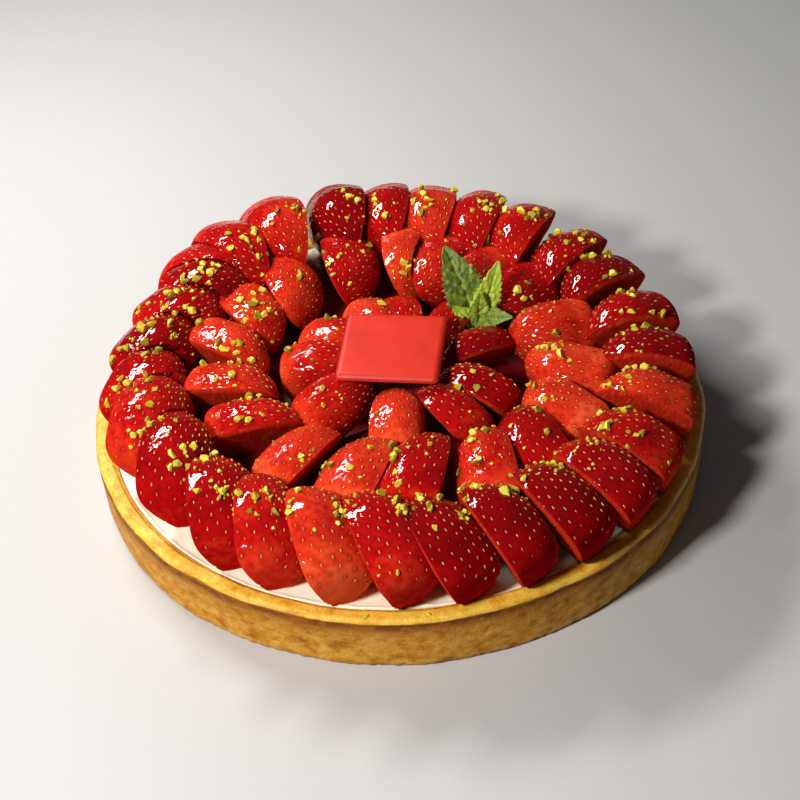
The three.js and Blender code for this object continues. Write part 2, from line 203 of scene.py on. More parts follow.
# bearing and reach in millimetres of each crumb that fell on the rim
RIM_CRUMBS = ((262, 117), (265, 117.6), (268, 117), (273, 116.8), (285, 117.5), (326, 117))


def linear(colour):
    """An sRGB hex colour as linear red, green, blue and a full alpha."""
    parts = [int(colour[i:i + 2], 16) / 255 for i in (1, 3, 5)]
    return [p / 12.92 if p <= 0.04045 else ((p + 0.055) / 1.055) ** 2.4 for p in parts] + [1.0]


def seeded_draw(seed):
    """A repeatable stream of numbers from 0 to 1, the same one that shapes the solids."""
    state = seed
    while True:
        state = state * 16807 % 2147483647
        yield state / 2147483647


def drift(waves, bearing):
    """A value that wanders round a ring: its mean and its waves, at one bearing."""
    mean, *rest = waves
    return mean + sum(a * math.cos(math.radians(n * (bearing - crest))) for a, n, crest in rest)


class TartSizes(bpy.types.PropertyGroup):
    """The tart's sizes."""

    diameter: FloatProperty(
        name="Tart diameter", description="Across the crust's rim", default=240 * MM, unit="LENGTH"
    )
    crust_height: FloatProperty(
        name="Crust height", description="From the board to the rim", default=25 * MM, unit="LENGTH"
    )
    crust_wall: FloatProperty(
        name="Crust wall", description="Thickness of the crust at its rim", default=7 * MM, unit="LENGTH"
    )
    crust_base: FloatProperty(
        name="Crust base", description="Thickness of the crust underneath", default=5 * MM, unit="LENGTH"
    )
    cream_level: FloatProperty(
        name="Cream level", description="Height of the spread cream", default=23.6 * MM, unit="LENGTH"
    )
    seed_spacing: FloatProperty(
        name="Seed spacing", description="Between the seeds on a berry", default=3.6 * MM, unit="LENGTH"
    )
    seed_length: FloatProperty(
        name="Seed length", description="Length of one seed", default=1.6 * MM, unit="LENGTH"
    )
    pit_depth: FloatProperty(
        name="Pit depth", description="How deep a seed sits in the skin", default=0.22 * MM, unit="LENGTH"
    )
    nut_size: FloatProperty(
        name="Pistachio size", description="Length of a usual bit of nut", default=2.6 * MM, unit="LENGTH"
    )
    stray_nuts: IntProperty(
        name="Stray bits", description="Bits of nut that fell outside the heaps", default=180
    )


class TartColours(bpy.types.PropertyGroup):
    """The tart's main colours."""

    ripe: FloatVectorProperty(
        name="Ripe", description="Skin of the darkest berries", default=linear("#7d0408"),
        size=4, min=0, max=1, subtype="COLOR",
    )
    pale: FloatVectorProperty(
        name="Pale", description="Skin of the palest berries", default=linear("#cf341a"),
        size=4, min=0, max=1, subtype="COLOR",
    )
    flesh: FloatVectorProperty(
        name="Flesh", description="A berry's cut face", default=linear("#c4301a"),
        size=4, min=0, max=1, subtype="COLOR",
    )
    crust: FloatVectorProperty(
        name="Crust", description="Baked shortcrust", default=linear("#ce8d20"),
        size=4, min=0, max=1, subtype="COLOR",
    )
    cream: FloatVectorProperty(
        name="Cream", description="Vanilla cream", default=linear("#f4f0d2"),
        size=4, min=0, max=1, subtype="COLOR",
    )
    plaque: FloatVectorProperty(
        name="Plaque", description="Coloured chocolate", default=linear("#d52e1b"),
        size=4, min=0, max=1, subtype="COLOR",
    )
    mint: FloatVectorProperty(
        name="Mint", description="Fresh mint leaf", default=linear("#78901a"),
        size=4, min=0, max=1, subtype="COLOR",
    )


# ---- Small helpers ------------------------------------------------------------------------------
def add_primitive(name, operator, **sizes):
    """Adds a primitive with nothing else selected."""
    bpy.ops.object.select_all(action="DESELECT")
    operator(**sizes)
    piece = bpy.context.active_object
    piece.name = name
    piece.data.name = name
    return piece


def mesh_piece(name, points, faces):
    """A piece from arrays of points and faces."""
    mesh = bpy.data.meshes.new(name)
    mesh.from_pydata(points.tolist(), [], faces.tolist())
    piece = bpy.data.objects.new(name, mesh)
    bpy.context.scene.collection.objects.link(piece)
    return piece


def make_active(piece):
    bpy.ops.object.select_all(action="DESELECT")
    piece.select_set(True)
    bpy.context.view_layer.objects.active = piece


def points_of(mesh):
    flat = np.empty(len(mesh.vertices) * 3, np.float32)
    mesh.vertices.foreach_get("co", flat)
    return flat.reshape(-1, 3).astype(float)


def normals_of(mesh):
    flat = np.empty(len(mesh.vertices) * 3, np.float32)
    mesh.vertex_normals.foreach_get("vector", flat)
    return flat.reshape(-1, 3).astype(float)


def set_points(mesh, points):
    mesh.vertices.foreach_set("co", np.asarray(points, np.float32).ravel())
    mesh.update()


def set_attribute(mesh, name, values):
    """Writes one number or vector a point for the materials to read."""
    values = np.asarray(values, np.float32)
    kind, key = ("FLOAT", "value") if values.ndim == 1 else ("FLOAT_VECTOR", "vector")
    mesh.attributes.new(name, kind, "POINT").data.foreach_set(key, values.ravel())


def apply_modifier(piece, kind, **settings):
    make_active(piece)
    modifier = piece.modifiers.new(kind.title(), kind)
    for key, value in settings.items():
        setattr(modifier, key, value)
    bpy.ops.object.modifier_apply(modifier=modifier.name)


def shade_by_angle(piece, degrees):
    make_active(piece)
    bpy.ops.object.shade_smooth_by_angle(angle=math.radians(degrees))


def finish_piece(piece, material, stands_for=()):
    """Gives a piece its place in the frame, its finish and its part in the table."""
    make_active(piece)
    bpy.ops.object.transform_apply(location=True, rotation=True, scale=True)
    piece.data.materials.clear()
    piece.data.materials.append(material)
    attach(piece, "root")
    if stands_for:
        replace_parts(piece, *stands_for)
    return piece


def smoothstep(low, high, value):
    share = np.clip((value - low) / (high - low), 0, 1)
    return share * share * (3 - 2 * share)


def noise_at(points, size, seed):
    """Smooth noise from -1 to 1 at each point, with bumps about that size across."""
    shift = Vector((seed, -seed, 2 * seed))
    return np.array([noise.noise(Vector(p) / size + shift) for p in points])


def rim_radius(sizes):
    return sizes.diameter / 2 - RIM_INSET


def inside_radius(sizes):
    """The inner face of the crust's wall, where the cream ends."""
    return rim_radius(sizes) - sizes.crust_wall


# ---- Berries: rule and shape --------------------------------------------------------------------
def berry_radius(share, width):
    """Half the width of a berry at each share of the way from hull to tip."""
    back = np.clip((WIDEST_AT - share) / WIDEST_AT, 0, 1)
    down = np.clip((share - WIDEST_AT) / (1 - WIDEST_AT), 0, 1)
    shoulder = (1 - back ** SHOULDER_POWER) ** HULL_POWER
    taper = (1 - down ** TAPER_POWER) ** TIP_POWER
    return width / 2 * np.where(share < WIDEST_AT, shoulder, taper)


def skin_points(berry, radius, height, angle):
    """Points of a whole berry in its own frame: +Y from hull to tip, +Z out of the round back."""
    swell = 1 + 0.035 * np.cos(2 * angle + berry.bulge) + 0.025 * np.cos(3 * angle + 2 * berry.bulge)
    x = radius * np.cos(angle) * swell + berry.bend * np.sin(np.pi * height / berry.length)
    z = radius * np.sin(angle) * swell * 2 * HALF_THICKNESS
    return np.stack([x, height, z], axis=-1)


def berry_basis(ring, bearing, odd):
    """The berry's own directions in the tart, as the rows across, axis and back."""
    heading = math.radians(bearing + 180 + odd.get("swing", drift(ring["swing"], bearing)))
    flat = np.array([math.cos(heading), math.sin(heading), 0])
    facing = np.cross(UP, flat) * ring["side"]
    pitch, lean = math.radians(ring["pitch"]), math.radians(odd.get("lean", ring["lean"]))
    axis = flat * math.cos(pitch) + UP * math.sin(pitch)
    back = np.cross(axis, facing) * ring["side"] * math.cos(lean) - facing * math.sin(lean)
    return np.array([np.cross(axis, back), axis, back])


def to_tart(berry, own):
    return own @ berry.basis + berry.origin


def to_own(berry, points):
    return (points - berry.origin) @ berry.basis.T


def lowest_corner(berry):
    """How far below its frame's origin the berry's lowest corner hangs."""
    share = np.repeat(RESTING_STATIONS, RESTING_SIDES)
    angle = np.tile(np.arange(RESTING_SIDES) * 2 * np.pi / RESTING_SIDES, len(RESTING_STATIONS))
    own = skin_points(berry, berry_radius(share, berry.width), share * berry.length, angle)
    own = np.vstack([own[own[:, 2] > -1e-9], [[0, 0, 0], [0, berry.length, 0]]])
    return float(np.min((own @ berry.basis)[:, 2]))


def place_berry(ring, number, seed, sizes):
    bearing = ring["bearings"][number - 1]
    odd = ring["odd_ones"].get(number, {})
    size = odd.get("size", 1) * (1 + SIZE_SPREAD * (2 * next(seeded_draw(seed)) - 1)) * MM
    draw = seeded_draw(seed)
    bend = (next(draw) * 2 - 1) * BERRY_BEND
    bulge = next(draw) * 2 * math.pi
    tone = PALE_TONE if number in ring["pale"] else DARK_TONE if number in ring["dark"] else USUAL_TONE
    berry = Berry(
        name=f"strawberry_{ring['name']}_{number:02d}",
        ring=ring,
        length=drift(ring["length"], bearing) * size,
        width=drift(ring["width"], bearing) * size,
        bend=bend,
        bulge=bulge,
        seed=seed,
        ripeness=tone + TONE_SPREAD * (2 * next(draw) - 1),
        basis=berry_basis(ring, bearing, odd),
        origin=np.zeros(3),
    )
    reach = odd.get("reach", drift(ring["reach"], bearing)) * MM
    x = reach * math.cos(math.radians(bearing))
    y = reach * math.sin(math.radians(bearing))
    z = sizes.cream_level - drift(ring["sunk"], bearing) * MM - lowest_corner(berry)
    return berry._replace(origin=np.array([x, y, z]))


def berry_rows(sizes):
    """The three rings of berries, in order round each ring."""
    return [
        [
            place_berry(ring, i + 1, FIRST_SEED + 1000 * k + 17 * i, sizes)
            for i in range(len(ring["bearings"]))
        ]
        for k, ring in enumerate(RINGS)
    ]


def leaning_on(row, i):
    """The berry whose cut face lies on berry i's back."""
    return row[(i + row[i].ring["side"]) % len(row)]


def meridian(berry):
    """The outline from the middle of the hull end to the tip: share walked, radius and height."""
    share = (1 - np.cos(np.linspace(0, np.pi, 240))) / 2
    radius = np.concatenate([[0], berry_radius(share, berry.width)])
    height = np.concatenate([[0], share * berry.length])
    walked = np.concatenate([[0], np.cumsum(np.hypot(np.diff(radius), np.diff(height)))])
    return walked / walked[-1], radius, height


def seed_spots(berry, spacing):
    """Where the seeds sit, as height and angle: a spiral by the golden angle, closer at the tip."""
    share = np.linspace(0, 1, 400)
    radius = berry_radius(share, berry.width)
    step = np.hypot(np.gradient(radius), np.gradient(share * berry.length))
    crowding = 0.62 + 0.85 * share ** 1.5
    area_of_a_seed = spacing ** 2 * 0.87
    count = np.cumsum(2 * np.pi * radius * step * crowding) / area_of_a_seed
    number = np.arange(int(count[-1]))
    draw = seeded_draw(berry.seed + 7)
    jitter = np.array([[next(draw) - 0.5, next(draw) - 0.5] for _ in number])
    height = np.interp(number + 0.8 * jitter[:, 0], count, share) * berry.length
    girth = np.maximum(berry_radius(height / berry.length, berry.width), 2 * MM)
    angle = number * GOLDEN_ANGLE + jitter[:, 1] * 0.9 * MM / girth
    return height, angle


def seed_frames(berry, spacing):
    """Each seed's point on the skin, the way out of the skin and the way to the tip."""
    height, angle = seed_spots(berry, spacing)
    inside = (height > 0.03 * berry.length) & (height < 0.985 * berry.length)
    height, angle = height[inside], angle[inside]

    def at(h, a):
        return skin_points(berry, berry_radius(h / berry.length, berry.width), h, a)

    small = 0.05 * MM
    point = at(height, angle)
    around = at(height, angle + 0.01) - at(height, angle - 0.01)
    down = at(height + small, angle) - at(height - small, angle)
    out = np.cross(down, around)
    out /= np.linalg.norm(out, axis=1, keepdims=True)
    down /= np.linalg.norm(down, axis=1, keepdims=True)
    core = np.zeros_like(point)
    core[:, 1] = point[:, 1]
    out[np.sum(out * (point - core), axis=1) < 0] *= -1
    keep = point[:, 2] > 0.6 * MM
    return point[keep], out[keep], down[keep]


def blank_half_berry():
    """A half ball with its poles along Z and its flat face in the plane Y = 0, to be copied."""
    blank = add_primitive(
        "half_berry_blank", bpy.ops.mesh.primitive_uv_sphere_add, segments=144, ring_count=66, radius=1
    )
    bpy.ops.object.mode_set(mode="EDIT")
    bpy.ops.mesh.select_all(action="SELECT")
    bpy.ops.mesh.bisect(
        plane_co=(0, 0, 0), plane_no=(0, 1, 0), use_fill=True, clear_inner=True, threshold=1e-5
    )
    for ring_of_faces in (0.045, 0.06, 0.12, 0.2, 0.25):
        bpy.ops.mesh.inset(thickness=ring_of_faces)
    bpy.ops.mesh.poke()
    bpy.ops.mesh.select_all(action="SELECT")
    bpy.ops.mesh.normals_make_consistent(inside=False)
    bpy.ops.object.mode_set(mode="OBJECT")
    return blank


def shape_half_berry(berry, unit):
    """Carries the blank's points to the berry's own frame."""
    depth = np.linalg.norm(unit, axis=1)
    walked, radius, height = meridian(berry)
    share = np.arccos(np.clip(unit[:, 2] / np.maximum(depth, 1e-9), -1, 1)) / np.pi
    angle = np.arctan2(np.maximum(unit[:, 1], 0), unit[:, 0])
    own = skin_points(
        berry, np.interp(share, walked, radius), np.interp(share, walked, height), angle
    )
    flat = unit[:, 1] < 1e-4
    middle = np.array([berry.bend, 0.45 * berry.length, 0])
    inside = np.clip(depth, 0, 1)[:, None]
    own[flat] = (middle + (own - middle) * inside)[flat]
    own[flat, 2] = 0
    return own, flat, depth


def dress_berry(mesh, berry, sizes, flat, depth):
    """Lumps, seed pits and a soft edge round the cut."""
    own = points_of(mesh)
    out = normals_of(mesh)
    lump = noise_at(own, 11 * MM, berry.seed) * 0.45 * MM + noise_at(own, 4 * MM, berry.seed) * 0.09 * MM
    pit = near_seed(own, berry, sizes, 0.85 * MM)
    on_skin = smoothstep(0, 1.5 * MM, own[:, 2])
    own += out * (on_skin * (lump - sizes.pit_depth * pit))[:, None]
    edge, ledge = depth > 0.999, depth > 0.94
    own[flat & edge, 2] += 0.5 * MM
    own[flat & ledge & ~edge, 2] += 0.12 * MM
    inner = flat & ~ledge
    own[inner, 2] -= 0.25 * MM * (1 + noise_at(own[inner], 6 * MM, berry.seed + 3))
    set_points(mesh, own)


def near_seed(own, berry, sizes, reach):
    """From 1 at a seed to 0 away from it, for points in the berry's own frame."""
    seeds, _, _ = seed_frames(berry, sizes.seed_spacing)
    apart = np.linalg.norm(own[:, None] - seeds[None], axis=2).min(axis=1)
    return np.exp(-((apart / reach) ** 2))


def depth_in_neighbour(points, leaning):
    """How far each point is past the neighbour's cut face. Beside the neighbour's outline there is
    more and more room, so a back stays round where nothing lies on it."""
    across, along, back = to_own(leaning, points).T
    share = np.clip(along / leaning.length, 0, 1)
    beside = np.maximum(0, np.abs(across) - berry_radius(share, leaning.width))
    past_ends = np.abs(along - share * leaning.length)
    steepness = 4
    return back + GAP - steepness * np.hypot(beside, past_ends)


def room_inside(points, sizes):
    """How far out a berry may reach at each point: to the crust's wall, and further above its rim."""
    over_rim = np.maximum(0, points[:, 2] - sizes.crust_height - GAP)
    return inside_radius(sizes) + 2 * over_rim


def press(mesh, leaning, sizes):
    """Squeezes a berry under the one that leans on it and back to the rim's inner side."""
    points = points_of(mesh)
    points -= np.maximum(0, depth_in_neighbour(points, leaning))[:, None] * leaning.basis[2]
    reach = np.hypot(points[:, 0], points[:, 1])
    room = room_inside(points, sizes) - GAP
    points[:, :2] *= np.minimum(1, room / np.maximum(reach, MM))[:, None]
    set_points(mesh, points)


def trim(piece, point, normal):
    """Cuts off what lies past a plane and closes the cut."""
    make_active(piece)
    bpy.ops.object.mode_set(mode="EDIT")
    bpy.ops.mesh.select_all(action="SELECT")
    bpy.ops.mesh.bisect(
        plane_co=point, plane_no=normal, use_fill=True, clear_outer=True, threshold=1e-7
    )
    bpy.ops.object.mode_set(mode="OBJECT")


def describe_berry(mesh, berry, sizes):
    """Writes what the material reads: place on the berry, ripeness, cut face and pits."""
    own = to_own(berry, points_of(mesh))
    set_attribute(mesh, "own_place", own)
    set_attribute(mesh, "along", own[:, 1] / berry.length)
    set_attribute(mesh, "cut_face", 1 - smoothstep(0.15 * MM, 0.7 * MM, own[:, 2]))
    set_attribute(mesh, "pit", near_seed(own, berry, sizes, 1 * MM))
    set_attribute(mesh, "ripeness", np.full(len(own), berry.ripeness))


def build_berry(blank, berry, leaning, sizes, material):
    mesh = blank.data.copy()
    mesh.name = berry.name
    piece = bpy.data.objects.new(berry.name + "_glazed", mesh)
    bpy.context.scene.collection.objects.link(piece)
    own, flat, depth = shape_half_berry(berry, points_of(mesh))
    set_points(mesh, own)
    make_active(piece)
    bpy.ops.object.mode_set(mode="EDIT")
    bpy.ops.mesh.select_all(action="SELECT")
    bpy.ops.mesh.normals_make_consistent(inside=False)
    bpy.ops.object.mode_set(mode="OBJECT")
    dress_berry(mesh, berry, sizes, flat, depth)
    set_points(mesh, to_tart(berry, points_of(mesh)))
    trim(piece, (0, 0, sizes.cream_level - 1.0 * MM), (0, 0, -1))
    describe_berry(mesh, berry, sizes)
    press(mesh, leaning, sizes)
    shade_by_angle(piece, 40)
    return finish_piece(piece, material, (berry.name,))


def shows(points, berry, leaning, sizes):
    """Which points of a berry are neither under its neighbour nor in the cream or the rim."""
    clear = np.hypot(points[:, 0], points[:, 1]) < room_inside(points, sizes)
    return clear & (depth_in_neighbour(points, leaning) < 0) & (points[:, 2] > sizes.cream_level)


def scatter(name, template, faces, spots, turns, sizes_of):
    """Copies a small shape to many spots and joins the copies into one piece."""
    shaped = template[None] * sizes_of[:, None]
    points = np.einsum("nij,njk->nik", shaped, turns) + spots[:, None]
    offsets = np.arange(len(spots)) * len(template)
    all_faces = faces[None] + offsets[:, None, None]
    return mesh_piece(name, points.reshape(-1, 3), all_faces.reshape(-1, faces.shape[1]))


def template_of(piece):
    """A primitive's points and triangles, after which the primitive goes."""
    make_active(piece)
    bpy.ops.object.mode_set(mode="EDIT")
    bpy.ops.mesh.select_all(action="SELECT")
    bpy.ops.mesh.quads_convert_to_tris()
    bpy.ops.object.mode_set(mode="OBJECT")
    points = points_of(piece.data)
    faces = np.array([tuple(face.vertices) for face in piece.data.polygons])
    bpy.data.objects.remove(piece)
    return points, faces


def build_seeds(row, sizes, material):
    """The seeds of one ring of berries, each a small teardrop sunk in its pit."""
    seed = add_primitive(
        "seed_blank", bpy.ops.mesh.primitive_uv_sphere_add, segments=6, ring_count=4, radius=0.5
    )
    template, faces = template_of(seed)
    template = template[:, [0, 2, 1]] * [1, 1, -1]
    template[:, [0, 2]] *= (1 - 0.55 * (template[:, 1:2] + 0.5) ** 2)
    spots, turns = [], []
    for i, berry in enumerate(row):
        point, out, down = seed_frames(berry, sizes.seed_spacing)
        place = to_tart(berry, point - out * (sizes.pit_depth + 0.02 * MM))
        keep = shows(place, berry, leaning_on(row, i), sizes)
        out, down = out[keep] @ berry.basis, down[keep] @ berry.basis
        spots.append(place[keep])
        turns.append(np.stack([np.cross(down, out), down, out], axis=1))
    spots, turns = np.concatenate(spots), np.concatenate(turns)
    draw = np.random.default_rng(11)
    size = sizes.seed_length * draw.uniform(0.85, 1.15, (len(spots), 1))
    piece = scatter(
        f"achenes_{row[0].ring['name']}", template, faces, spots, turns, size * [0.5, 1, 0.5]
    )
    tint = np.repeat(draw.uniform(0, 1, len(spots)), len(template))
    set_attribute(piece.data, "tint", tint)
    piece.data.shade_smooth()
    return finish_piece(piece, material)


# ---- Crust and cream ----------------------------------------------------------------------------
def wander(angle):
    """How far a hand-pressed wall strays from its circle."""
    return (0.3 * np.cos(2 * angle + 0.7) + 0.22 * np.cos(8 * angle) + 0.14 * np.cos(22 * angle + 2)) * MM


def turned(name, outline, segments):
    """A closed round shape: a circle extruded and resized from one point of the outline to the next."""
    radius, height = outline[0]
    piece = add_primitive(
        name, bpy.ops.mesh.primitive_circle_add,
        vertices=segments, radius=radius, location=(0, 0, height),
    )
    bpy.ops.object.mode_set(mode="EDIT")
    bpy.ops.mesh.select_all(action="SELECT")
    for next_radius, next_height in outline[1:]:
        bpy.ops.mesh.extrude_edges_move(
            TRANSFORM_OT_translate={"value": (0, 0, next_height - height)}
        )
        scale = next_radius / radius
        bpy.ops.transform.resize(value=(scale, scale, 1), center_override=(0, 0, 0))
        radius, height = next_radius, next_height
    bpy.ops.mesh.select_all(action="SELECT")
    bpy.ops.mesh.fill_holes(sides=0)
    bpy.ops.mesh.normals_make_consistent(inside=False)
    bpy.ops.object.mode_set(mode="OBJECT")
    make_active(piece)
    bpy.ops.object.transform_apply(location=True, rotation=True, scale=True)
    return piece


def crust_outline(sizes):
    """From the middle of the underside up the wall, over the lip and down to the bed."""
    rim, inside = rim_radius(sizes), inside_radius(sizes)
    foot = rim - 1.3 * MM
    top = sizes.crust_height
    round_foot, round_rim, round_inside = 1.3 * MM, 2.2 * MM, 1.6 * MM
    groove_depth, groove_width, groove_below_top = 0.45 * MM, 0.9, 3.6
    outline = [(foot * share, 0.0) for share in (0.02, 0.5, 0.9, 0.965)]
    for turn in np.linspace(0, math.pi / 2, 5):
        outline.append((foot - round_foot + round_foot * math.sin(turn), round_foot * (1 - math.cos(turn))))
    for height in np.arange(2.1 * MM, top - round_rim, 0.8 * MM):
        up = height / (top - round_rim)
        off_groove = ((top - height) / MM - groove_below_top) / groove_width
        groove = groove_depth * math.exp(-off_groove ** 2)
        outline.append((foot + (rim - foot) * up ** 0.5 - groove, height))
    for turn in np.linspace(0, math.pi / 2, 9):
        outline.append((rim - round_rim * (1 - math.cos(turn)), top - round_rim * (1 - math.sin(turn))))
    for across in np.arange(0.8 * MM, sizes.crust_wall - round_rim - round_inside, 0.8 * MM):
        outline.append((rim - round_rim - across, top))
    for turn in np.linspace(math.pi / 2, 0, 7):
        low = 0.1 * MM + round_inside * (1 - math.sin(turn))
        outline.append((inside + round_inside * (1 - math.cos(turn)), top - low))
    outline.append((inside, sizes.crust_base + 6 * MM))
    outline.append((inside, sizes.crust_base))
    outline.append((1 * MM, sizes.crust_base))
    return outline


def build_crust(sizes, material):
    piece = turned("crust_baked", crust_outline(sizes), 840)
    points = points_of(piece.data)
    out = normals_of(piece.data)
    radius = np.hypot(points[:, 0], points[:, 1])
    angle = np.arctan2(points[:, 1], points[:, 0])
    inside = inside_radius(sizes)
    outer = smoothstep(inside, inside + 1.5 * MM, radius)
    up = points[:, 2] / sizes.crust_height
    on_lip = smoothstep(0.9, 0.95, up)
    on_foot = 1 - smoothstep(0.02, 0.12, up)
    rough = (
        noise_at(points, 1.3 * MM, 1) * 0.15
        + noise_at(points * [1, 1, 2.2], 4.5 * MM, 2) * 0.14
        + noise_at(points, 14 * MM, 3) * 0.22
        + noise_at(points, 2.4 * MM, 4) * 0.4 * on_foot
    ) * MM
    pits = noise_at(points, 2.1 * MM, 7)
    rough -= 0.35 * MM * smoothstep(0.42, 0.75, pits) * (1 - on_lip)
    points[:, 0] += np.cos(angle) * outer * wander(angle)
    points[:, 1] += np.sin(angle) * outer * wander(angle)
    lip_wave = 0.25 * (np.cos(6 * angle + 1) - 1) * MM
    points[:, 2] += lip_wave * on_lip
    points += out * (rough * outer)[:, None]
    points[:, 2] = np.maximum(points[:, 2], 0)
    set_points(piece.data, points)
    set_attribute(piece.data, "height_share", up)
    piece.data.shade_smooth()
    return finish_piece(piece, material, ("crust",))


def build_cream(sizes, material):
    edge = inside_radius(sizes)
    level = sizes.cream_level
    bottom = sizes.crust_base + GAP
    outline = [(1 * MM, bottom), (edge - GAP, bottom), (edge - GAP, level - 2 * MM)]
    outline += [(edge - GAP, level), (edge - 0.8 * MM, level + 0.5 * MM)]
    outline += [(edge - (1.5 + step) * MM, level) for step in np.arange(0, 30, 1.1)]
    outline += [(edge * share, level) for share in (0.68, 0.6, 0.5, 0.4, 0.3, 0.2, 0.1, 0.02)]
    piece = turned("cream_spread", outline, 420)
    points = points_of(piece.data)
    radius = np.hypot(points[:, 0], points[:, 1]) / MM
    angle = np.arctan2(points[:, 1], points[:, 0])
    spread = 1 + np.cos(4 * angle + radius / 9) * np.sin(3 * angle - radius / 14)
    on_top = smoothstep(level - 0.5 * MM, level, points[:, 2])
    dip = 0.35 * spread - 0.35 * noise_at(points, 5 * MM, 5) - 0.15 * noise_at(points, 2 * MM, 6)
    points[:, 2] -= dip * MM * on_top
    climb = smoothstep(edge - 2.4 * MM, edge, radius * MM)
    points[:, 2] += 0.9 * MM * climb * on_top * (0.5 + noise_at(points, 5 * MM, 8))
    set_points(piece.data, points)
    piece.data.shade_smooth()
    return finish_piece(piece, material, ("cream",))


# ---- Plaque, mint and nuts ----------------------------------------------------------------------
def build_plaque(material):
    """A cast square: its corners are rounded first, then all its edges are eased."""
    side, corner, ease, turn = 40 * MM, 2.2 * MM, 0.45 * MM, math.radians(-8.6)
    low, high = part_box("plaque")
    piece = add_primitive("plaque_cast", bpy.ops.mesh.primitive_cube_add, size=1)
    piece.scale = (side, side, high.z - low.z)
    bpy.ops.object.transform_apply(location=False, rotation=False, scale=True)
    bpy.ops.object.mode_set(mode="EDIT")
    bpy.ops.mesh.select_all(action="DESELECT")
    bpy.ops.object.mode_set(mode="OBJECT")
    for edge in piece.data.edges:
        a, b = (piece.data.vertices[i].co for i in edge.vertices)
        edge.select = abs(a.z - b.z) > 1e-6
    bpy.ops.object.mode_set(mode="EDIT")
    bpy.ops.mesh.select_mode(type="EDGE")
    bpy.ops.mesh.bevel(offset=corner, segments=8)
    bpy.ops.mesh.select_all(action="DESELECT")
    bpy.ops.object.mode_set(mode="OBJECT")
    for edge in piece.data.edges:
        a, b = (piece.data.vertices[i].co for i in edge.vertices)
        edge.select = abs(a.z - b.z) < 1e-6
    bpy.ops.object.mode_set(mode="EDIT")
    bpy.ops.mesh.bevel(offset=ease, segments=4)
    bpy.ops.object.mode_set(mode="OBJECT")
    middle = (low + high) / 2
    piece.data.transform(Matrix.Translation(middle) @ Matrix.Rotation(turn, 4, "Z"))
    shade_by_angle(piece, 30)
    return finish_piece(piece, material, ("plaque",))


def leaf_points(leaf, u, v):
    """Points of a mint blade: u from edge to edge, v from stalk to tip."""
    foot, tip, face = np.array(STEM_FOOT, float), np.array(leaf.tip, float), np.array(leaf.face, float)
    along = tip - foot
    length = np.linalg.norm(along)
    along /= length
    out = face - along * (along @ face)
    out /= np.linalg.norm(out)
    aside = np.cross(along, out)
    side = np.abs(u)
    full = np.abs(np.sin(np.pi * np.minimum(1, 0.14 + 0.86 * v ** 0.85))) ** 0.85
    saw = (v * leaf.teeth + 0.4 * np.sin(11 * v + leaf.width)) % 1
    tooth = 1 - 0.24 * side ** 4 * (1 - saw ** 0.7)
    spread = u * (0.06 + 0.94 * full) * tooth * leaf.width / 2
    branch = (v * 6.5 - 1.5 * side) % 1
    between = np.sin(np.pi * branch) ** 0.6
    quilt = 0.5 * between * np.sin(np.pi * np.minimum(side * 1.08, 1)) ** 0.6 * full
    crease = -0.5 * np.exp(-((side / 0.07) ** 2))
    curl = 0.5 * np.sin(5 * v + 2 * np.sign(u) * side) + 0.16 * np.abs(spread)
    on_blade = np.stack([spread, v * length, 0 * v], axis=1)
    crinkle = 1.2 * noise_at(on_blade, 2.4, leaf.width) + 0.6 * noise_at(on_blade, 1.1, leaf.width)
    lift = leaf.bow * np.sin(np.pi * v) + curl + quilt + crease + crinkle * full
    points = foot + np.outer(v * length, along) + np.outer(spread, aside) + np.outer(lift, out)
    vein = np.maximum(np.exp(-((side / 0.05) ** 2)), 0.8 * (1 - between) ** 2 * (side > 0.04))
    return points * MM, vein


def build_mint(material):
    blades = []
    for number, leaf in enumerate(LEAVES):
        blade = add_primitive(
            f"mint_blade_{number}", bpy.ops.mesh.primitive_grid_add,
            x_subdivisions=34, y_subdivisions=64, size=2,
        )
        flat = points_of(blade.data)
        points, vein = leaf_points(leaf, flat[:, 0], (flat[:, 1] + 1) / 2)
        set_points(blade.data, points)
        set_attribute(blade.data, "vein", vein)
        set_attribute(blade.data, "tone", np.full(len(points), leaf.tone))
        apply_modifier(blade, "SOLIDIFY", thickness=0.4 * MM, offset=0)
        blades.append(blade)
    stem = add_primitive(
        "mint_stem", bpy.ops.mesh.primitive_cylinder_add,
        vertices=16, radius=1 * MM, depth=9 * MM,
        location=[STEM_FOOT[0] * MM, STEM_FOOT[1] * MM, (STEM_FOOT[2] - 2.5) * MM],
    )
    for name in ("vein", "tone"):
        set_attribute(stem.data, name, np.full(len(stem.data.vertices), STEM_SHADE))
    make_active(stem)
    bpy.ops.object.transform_apply(location=True, rotation=True, scale=True)
    for blade in blades:
        blade.select_set(True)
    bpy.ops.object.join()
    stem.name = "mint_leaves"
    shade_by_angle(stem, 50)
    return finish_piece(stem, material, ("mint_sprig",))


def nut_template(draw):
    """One chopped bit: a rough ball cut by a few knife planes."""
    bit = add_primitive("nut_blank", bpy.ops.mesh.primitive_ico_sphere_add, subdivisions=1, radius=0.5)
    bpy.ops.object.mode_set(mode="EDIT")
    bpy.ops.mesh.select_all(action="SELECT")
    for _ in range(5):
        normal = Vector(draw.normal(size=3)).normalized()
        bpy.ops.mesh.bisect(
            plane_co=normal * draw.uniform(0.1, 0.28), plane_no=normal,
            use_fill=True, clear_outer=True, threshold=1e-5,
        )
        bpy.ops.mesh.select_all(action="SELECT")
    bpy.ops.object.mode_set(mode="OBJECT")
    return template_of(bit)


